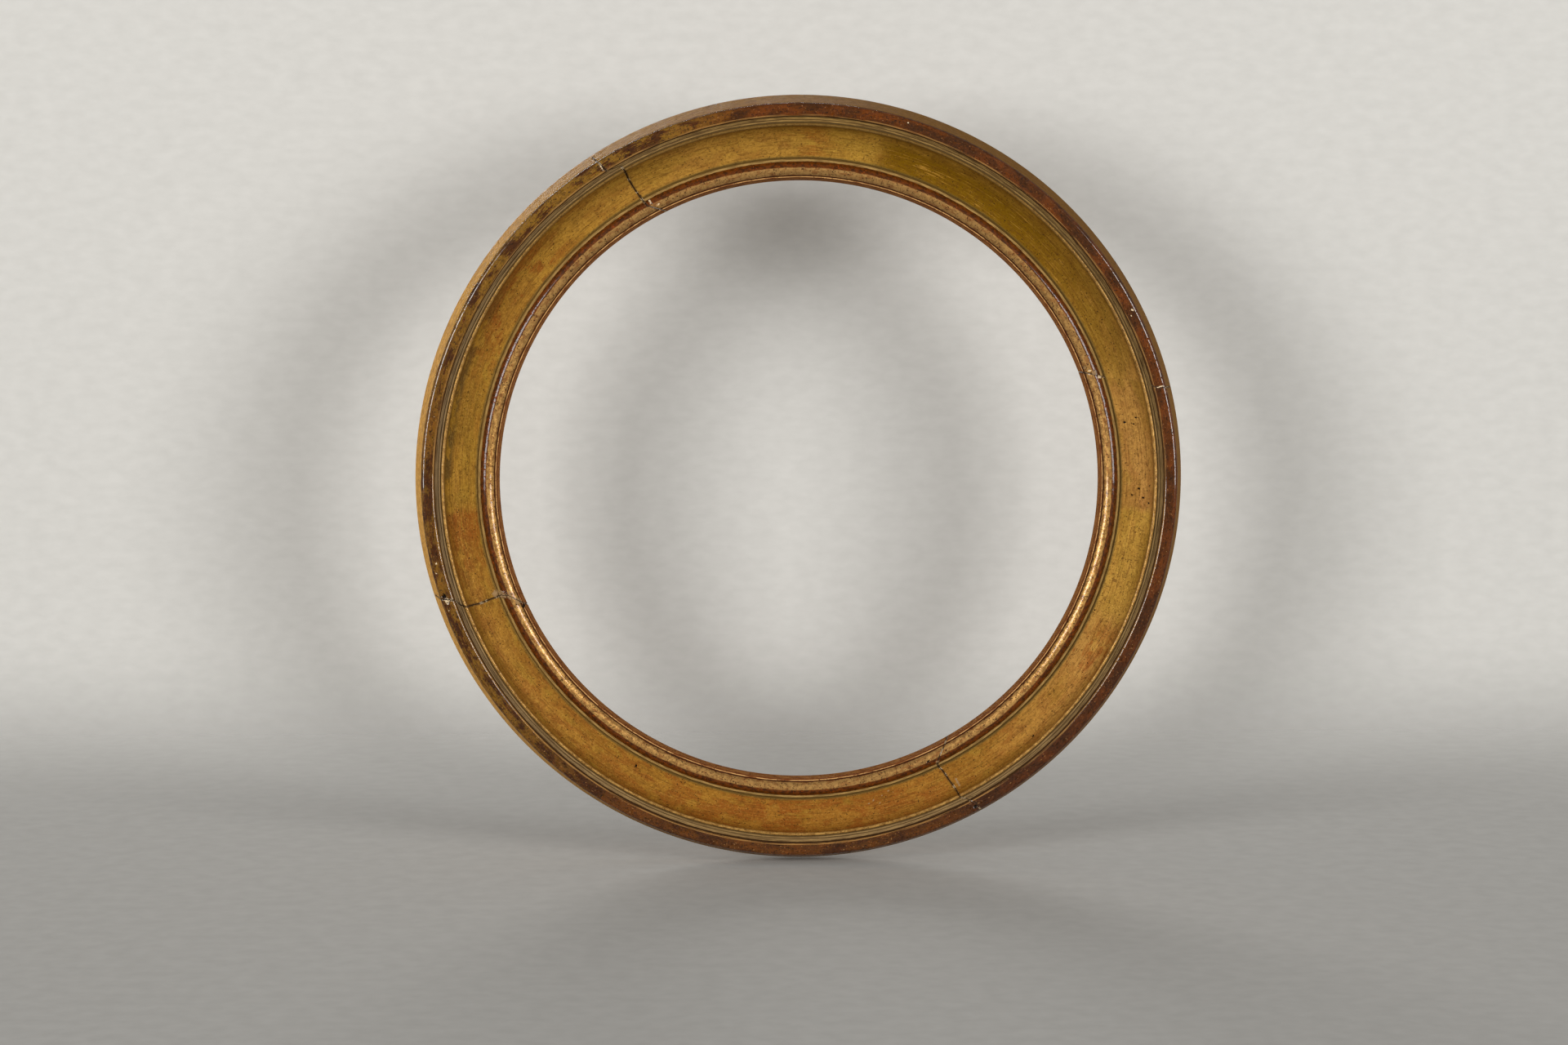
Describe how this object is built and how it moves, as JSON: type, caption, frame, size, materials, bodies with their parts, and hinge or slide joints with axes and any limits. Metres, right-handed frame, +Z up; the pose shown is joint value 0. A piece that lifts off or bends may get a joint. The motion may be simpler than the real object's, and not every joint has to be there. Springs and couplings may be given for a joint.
{
  "type": "round picture frame",
  "caption": "Round turned and gilded wooden picture frame with a hollow moulding, a rebate at the back for a picture, and a ring on the back to hang it by.",
  "frame": {"origin": "the rim's centre on its back face, where the rebate opens", "axes": "+Y out of the back towards the wall, -Y towards the viewer, +Z up, +X to the viewer's right"},
  "size_m": [0.354, 0.0323, 0.354],
  "materials": {
    "gilt_wood": "worn gold leaf over red bole and gesso, bare at the back",
    "peg_wood": "bare, oiled by age",
    "iron": "dark wrought wire with light rust"
  },
  "bodies": {
    "frame": {"felloe_top": "gilt_wood", "felloe_left": "gilt_wood", "felloe_bottom": "gilt_wood", "felloe_right": "gilt_wood", "lap_pegs_right": "peg_wood", "lap_pegs_top": "peg_wood", "lap_pegs_left": "peg_wood", "lap_pegs_bottom": "peg_wood", "hanger_eye": "iron"},
    "hanging_ring": {"hanging_ring": "iron"}
  },
  "joints": [
    {"name": "ring_swing", "type": "hinge", "parent": "frame", "child": "hanging_ring", "pos_m": [0, 0.00528, 0.1648], "axis": [1, 0, 0], "range_deg": [-10, 190]}
  ]
}
